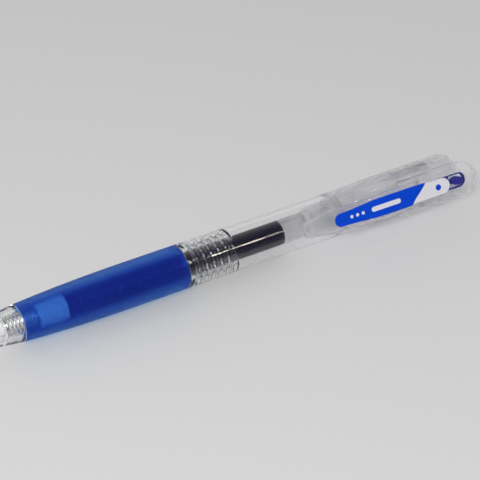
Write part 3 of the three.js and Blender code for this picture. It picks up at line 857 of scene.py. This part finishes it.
def labels():
    """The two prints, and the plain marks on them."""
    print_low, print_high = -0.25, 0.04
    mark_low, mark_high = -0.02, 0.06
    slim = 0.001                # keeps the two halves of a round mark from sharing points
    blue = place("label_blue_print", print_patch(blue_outline(), print_low, print_high), BLUE_PRINT)
    white = place("label_white_print", print_patch(white_outline(), print_low, print_high), WHITE_PRINT)
    dots = [bar((u - DOT_R, u + DOT_R), DOT_R - slim) for u in DOT_PLACES]
    marks = bmesh.new()
    for outline in [*dots, bar(LONG_BAR, 0.62)]:
        part = mesh_of(print_patch(outline, mark_low, mark_high), "mark")
        marks.from_mesh(part)
        bpy.data.meshes.remove(part)
    white_marks = place("label_blue_marks", marks, WHITE_PRINT)
    dot = bar(WHITE_DOT, (WHITE_DOT[1] - WHITE_DOT[0]) / 2 - slim)
    blue_mark = place("label_white_mark", print_patch(dot, mark_low, mark_high), BLUE_PRINT)
    return blue, white, white_marks, blue_mark


def clip_and_labels():
    """The clip and its prints, with their transforms applied and on no body."""
    body = clip()
    blue, white, white_marks, blue_mark = labels()
    mount(body, None, ["clip_arm", "clip_head"])
    mount(blue, None, ["label_blue"])
    mount(white, None, ["label_white"])
    mount(white_marks, None, [])
    mount(blue_mark, None, [])
    for obj in (body, blue, white, white_marks, blue_mark):
        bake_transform(obj)


TEETH = 8
TOOTH_HEIGHT = 1.05
TOOTH_FILL = 0.92               # share of the pitch that a tooth takes
TOOTH_BASE = 0.3
TOOTH_R = 3.35
CAM_TOOTH_ROOT = 129.4          # the tabs, not the teeth, are the front of the push cam's node
CAM_R = 3.4                     # of the push cam and of the rotor's neck
CAM_BORE = 2.95
TAB_FRONT = 127.4


def tooth_ring(root, pointing, r_inner):
    """Wedge-shaped cam teeth side by side round a ring."""
    half = pi / TEETH * TOOTH_FILL
    corners = [(-half, -TOOTH_BASE), (half, -TOOTH_BASE), (half, 0), (0, TOOTH_HEIGHT), (-half, 0)]
    teeth = []
    for k in range(TEETH):
        middle = (2 * k + 1) * pi / TEETH
        rings = []
        for r in (r_inner, TOOTH_R):
            ring = [(root + pointing * h, r * cos(middle + a), r * sin(middle + a)) for a, h in corners]
            rings.append(ring)
        teeth.append(skin(rings, closed=False))
    return teeth


def push_cam():
    end = span("push_cam")[1]
    root = CAM_TOOTH_ROOT
    outline = [(root, CAM_R), (end, CAM_R), (end, CAM_BORE), (root, CAM_BORE)]
    tabs = []
    for side in (-1, 1):
        # A hook: its nose passes outside the rotor, and its root is behind the teeth.
        tabs.append(block((TAB_FRONT, 131.7), sorted((side * 3.4, side * 5.3)), (1.65, 2.3), 0.12))
        tabs.append(block((root + 0.1, 131.6), sorted((side * 2.7, side * 4.2)), (1.7, 2.25), 0.1))
    body = combined(turned(outline), tooth_ring(root, -1, 3.0) + tabs, "UNION")
    obj = inner_wall(place("push_cam_clear", body, INNER, crease=30))
    mount(obj, "button", ["push_cam"])


def colour_insert():
    """Blue plate under the white label, and behind it a rim round an oval stud."""
    front, end = insert_span()
    stud_u, stud_half_length, stud_half_width = 136.4, 1.6, 1.0
    plate = print_patch(tongue(front, end, INSERT_HALF_WIDTH), -1.8, -0.8, edge=0.15)
    opening = tongue(134.4, end - INSERT_RIM, INSERT_HALF_WIDTH - INSERT_RIM)
    oval = [(stud_u + stud_half_length * cos(a), stud_half_width * sin(a))
            for a in spaced(0, 2 * pi, 48)[:-1]]
    strap = [(134, 0.5), (134, -0.5), (136, -0.5), (136, 0.5)]
    body = combined(plate, [print_patch(opening, -3, 1, edge=0)], "DIFFERENCE")
    stud = [print_patch(oval, -1.8, -0.1, edge=0.2), print_patch(strap, -1.75, -1.0, edge=0)]
    body = combined(body, stud, "UNION")
    obj = place("colour_insert_blue", body, BLUE_PLASTIC, crease=30)
    mount(obj, "button", ["colour_insert"])


# ---------------------------------------------------------------- rotor and refill

ROTOR_SLEEVE_END = 111.5        # of its wide front part
ROTOR_SLEEVE_R = 3.9
ROTOR_SLEEVE_BORE = 3.25
ROTOR_NECK_BORE = 2.6
RIB_U = (122.6, 126.6)
RIB_R = (3.1, 4.1)
RIBS = 4


def rotor_cam():
    front, end = span("rotor_cam")
    seat = span("refill_tube")[1] + 0.25
    root = end - 1.1
    outline = [
        (front, 3.7), (front + 0.8, ROTOR_SLEEVE_R), (ROTOR_SLEEVE_END, ROTOR_SLEEVE_R),
        (ROTOR_SLEEVE_END + 0.6, CAM_R), (root, CAM_R), (root, ROTOR_NECK_BORE), (seat, ROTOR_NECK_BORE),
        (seat, ROTOR_SLEEVE_BORE), (front + 1.2, ROTOR_SLEEVE_BORE), (front, 3.5),
    ]
    ribs = [sector(RIB_U, RIB_R, 2 * pi * k / RIBS, radians(6)) for k in range(RIBS)]
    body = combined(turned(outline, radius=0.3), ribs + tooth_ring(root, 1, 2.7), "UNION")
    obj = inner_wall(place("rotor_cam_clear", body, INNER, crease=30))
    mount(obj, "rotor", ["rotor_cam"])


TUBE_BORE = 2.6
WET_R = TUBE_BORE + 0.015       # ink and grease wet the tube, and reach into its wall a little


def refill():
    """The tube, the ink in it, and the clear grease behind the ink."""
    tube_front, tube_end = span("refill_tube")
    tube_r = reach("refill_tube")
    tube = turned([
        (tube_front, tube_r), (tube_end, tube_r), (tube_end, TUBE_BORE), (tube_front, TUBE_BORE),
    ])
    mount(inner_wall(place("refill_tube_clear", tube, TUBE)), "refill", ["refill_tube"])

    ink_front, ink_end = span("ink_column")
    bulge = 0.8
    squareness = 0.8            # 1 would make the ink's end an ellipse
    dome = [(ink_end + bulge * cos(a) ** squareness, WET_R * sin(a) ** squareness)
            for a in spaced(pi / 2, 0, 14)]
    outline = [(ink_front, 0), (ink_front, WET_R), *dome[:-1], (dome[-1][0], 0)]
    ink = skin([ring_at(u, r) for u, r in outline], False)
    mount(place("ink_column_dark", ink, INK, 60), "refill", ["ink_column"])

    end = span("ink_follower")[1]
    hollow = [(u + 0.02, r) for u, r in dome[::-1]]
    gel_end = [(end - 0.7 * sin(a), WET_R * cos(a)) for a in spaced(0, pi / 2, 8)]
    gel = skin([ring_at(u, r) for u, r in hollow + gel_end], False)
    gel_piece = inner_wall(place("ink_follower_gel", gel, GEL, 60))
    mount(gel_piece, "refill", ["ink_follower"])


def tip():
    """The white holder, the metal tip in it, and the ball."""
    front, end = span("tip_holder")
    step = span("refill_tube")[0] - 0.05
    shoulder = front + HOLDER_SHOULDER
    nozzle_r, collar_r, channel_r = 1.6, 2.7, 0.6
    socket_end, socket_r = 16.6, 1.04
    holder = turned([
        (front, 1.3), (front + 0.6, nozzle_r), (shoulder, nozzle_r), (shoulder, collar_r),
        (step, collar_r), (step, WET_R), (end, WET_R), (end, channel_r), (socket_end, channel_r),
        (socket_end, socket_r), (front, socket_r),
    ], radius=0.15, sides=64)
    mount(place("tip_holder_white", holder, WHITE), "refill", ["tip_holder"])

    metal_front, metal_end = span("tip_metal")
    metal_r, metal_bore = 1.0, 0.4
    cone_end = metal_front + 3
    metal = turned([
        (metal_front - 0.1, 0.38), (metal_front + 0.5, 0.46), (cone_end, metal_r), (metal_end, metal_r),
        (metal_end, metal_bore), (cone_end, metal_bore), (metal_front - 0.1, 0.28),
    ], radius=0.06, sides=48)
    mount(place("tip_metal_turned", metal, TIP_STEEL), "refill", ["tip_metal"])

    low, high = span("tip_ball")
    ball_r = (high - low) / 2
    centre = (low + high) / 2 + 0.1
    arc = [(centre - ball_r * cos(a), ball_r * sin(a)) for a in spaced(0, pi, 12)]
    ball = skin([ring_at(u, r, 24) for u, r in arc], False)
    mount(place("tip_ball_steel", ball, TIP_STEEL, 60), "refill", ["tip_ball"])


# ---------------------------------------------------------------- studio

CAMERA_AZIMUTH = radians(-30.5)
CAMERA_ELEVATION = radians(36)
CAMERA_DISTANCE = 0.6
CAMERA_LENS = 188
SENSOR_WIDTH = 36
AIM_U = 63                      # this point of the axis is seen at AIM_SPOT
AIM_SPOT = (-0.1163, -0.0531)   # from the picture's middle, in widths
GLINT_U = 78                    # the lamp's mirror image is on the barrel here


def camera():
    data = bpy.data.cameras.new("camera")
    data.lens = CAMERA_LENS
    data.sensor_width = SENSOR_WIDTH
    data.clip_start, data.clip_end = 0.01, 20
    obj = bpy.data.objects.new("camera", data)
    bpy.context.scene.collection.objects.link(obj)
    back = Vector((
        sin(CAMERA_AZIMUTH) * cos(CAMERA_ELEVATION),
        -cos(CAMERA_AZIMUTH) * cos(CAMERA_ELEVATION),
        sin(CAMERA_ELEVATION),
    ))
    turn = (-back).to_track_quat("-Z", "Y")
    ray = Vector((AIM_SPOT[0] * SENSOR_WIDTH / CAMERA_LENS, AIM_SPOT[1] * SENSOR_WIDTH / CAMERA_LENS, -1))
    obj.rotation_mode = "QUATERNION"
    obj.rotation_quaternion = turn
    obj.location = PEN @ Vector((AIM_U, 0, 0)) - turn @ (ray * CAMERA_DISTANCE)
    bpy.context.scene.camera = obj


def floor():
    bm = bmesh.new()
    bmesh.ops.create_grid(bm, x_segments=1, y_segments=1, size=3)
    mesh = mesh_of(bm, "floor")
    m = Material("floor_paper")
    grain = m.noise(900, 4)
    principled = m.node("ShaderNodeBsdfPrincipled", {
        "Base Color": m.blend(m.between(grain, 0.0, 1.0), (0.78, 0.78, 0.775), (0.765, 0.765, 0.76)),
        "Roughness": 0.55,
    })
    mesh.materials.append(m.finish(principled.outputs[0]))
    obj = bpy.data.objects.new("floor", mesh)
    bpy.context.scene.collection.objects.link(obj)


def area_light(name, location, target, size, power, colour=(1, 1, 1)):
    data = bpy.data.lights.new(name, "AREA")
    data.shape = "RECTANGLE"
    data.size, data.size_y = size
    data.energy = power
    data.color = colour
    obj = bpy.data.objects.new(name, data)
    bpy.context.scene.collection.objects.link(obj)
    obj.location = location
    obj.rotation_mode = "QUATERNION"
    obj.rotation_quaternion = (Vector(target) - Vector(location)).to_track_quat("-Z", "Y")


def studio():
    world = bpy.data.worlds.new("studio")
    bpy.context.scene.world = world
    world.use_nodes = True
    nodes, links = world.node_tree.nodes, world.node_tree.links
    background = nodes["Background"]
    background.inputs["Color"].default_value = (0.98, 0.98, 1.0, 1)
    # The room is bright behind the pen and dim on the camera's side, where the ink mirrors it.
    split = nodes.new("ShaderNodeSeparateXYZ")
    links.new(nodes.new("ShaderNodeTexCoord").outputs["Generated"], split.inputs[0])
    brightness = nodes.new("ShaderNodeMapRange")
    links.new(split.outputs["Y"], brightness.inputs["Value"])
    for key, value in (("From Min", -0.3), ("From Max", 0.6), ("To Min", 0.15), ("To Max", 0.68)):
        brightness.inputs[key].default_value = value
    links.new(brightness.outputs[0], background.inputs["Strength"])
    area_light("key", (-0.55, -0.5, 0.67), target=(0, 0, 0), size=(0.4, 0.4), power=6.7)
    # A small lamp where the barrel mirrors it to the camera, for the thin line of light along it.
    glint = PEN @ Vector((GLINT_U, 0, 0))
    eye = bpy.context.scene.camera.location
    lamp = Vector((2 * glint.x - eye.x, eye.y, eye.z))
    area_light("lamp", lamp, target=glint, size=(0.042, 0.012), power=0.1, colour=(1, 0.86, 0.72))
    bpy.context.scene.view_settings.view_transform = "Standard"


front_barrel()
grip_sleeve()
return_spring()
rear_barrel()
rear_housing()
clip_and_labels()
push_cam()
colour_insert()
rotor_cam()
refill()
tip()
camera()
floor()
studio()
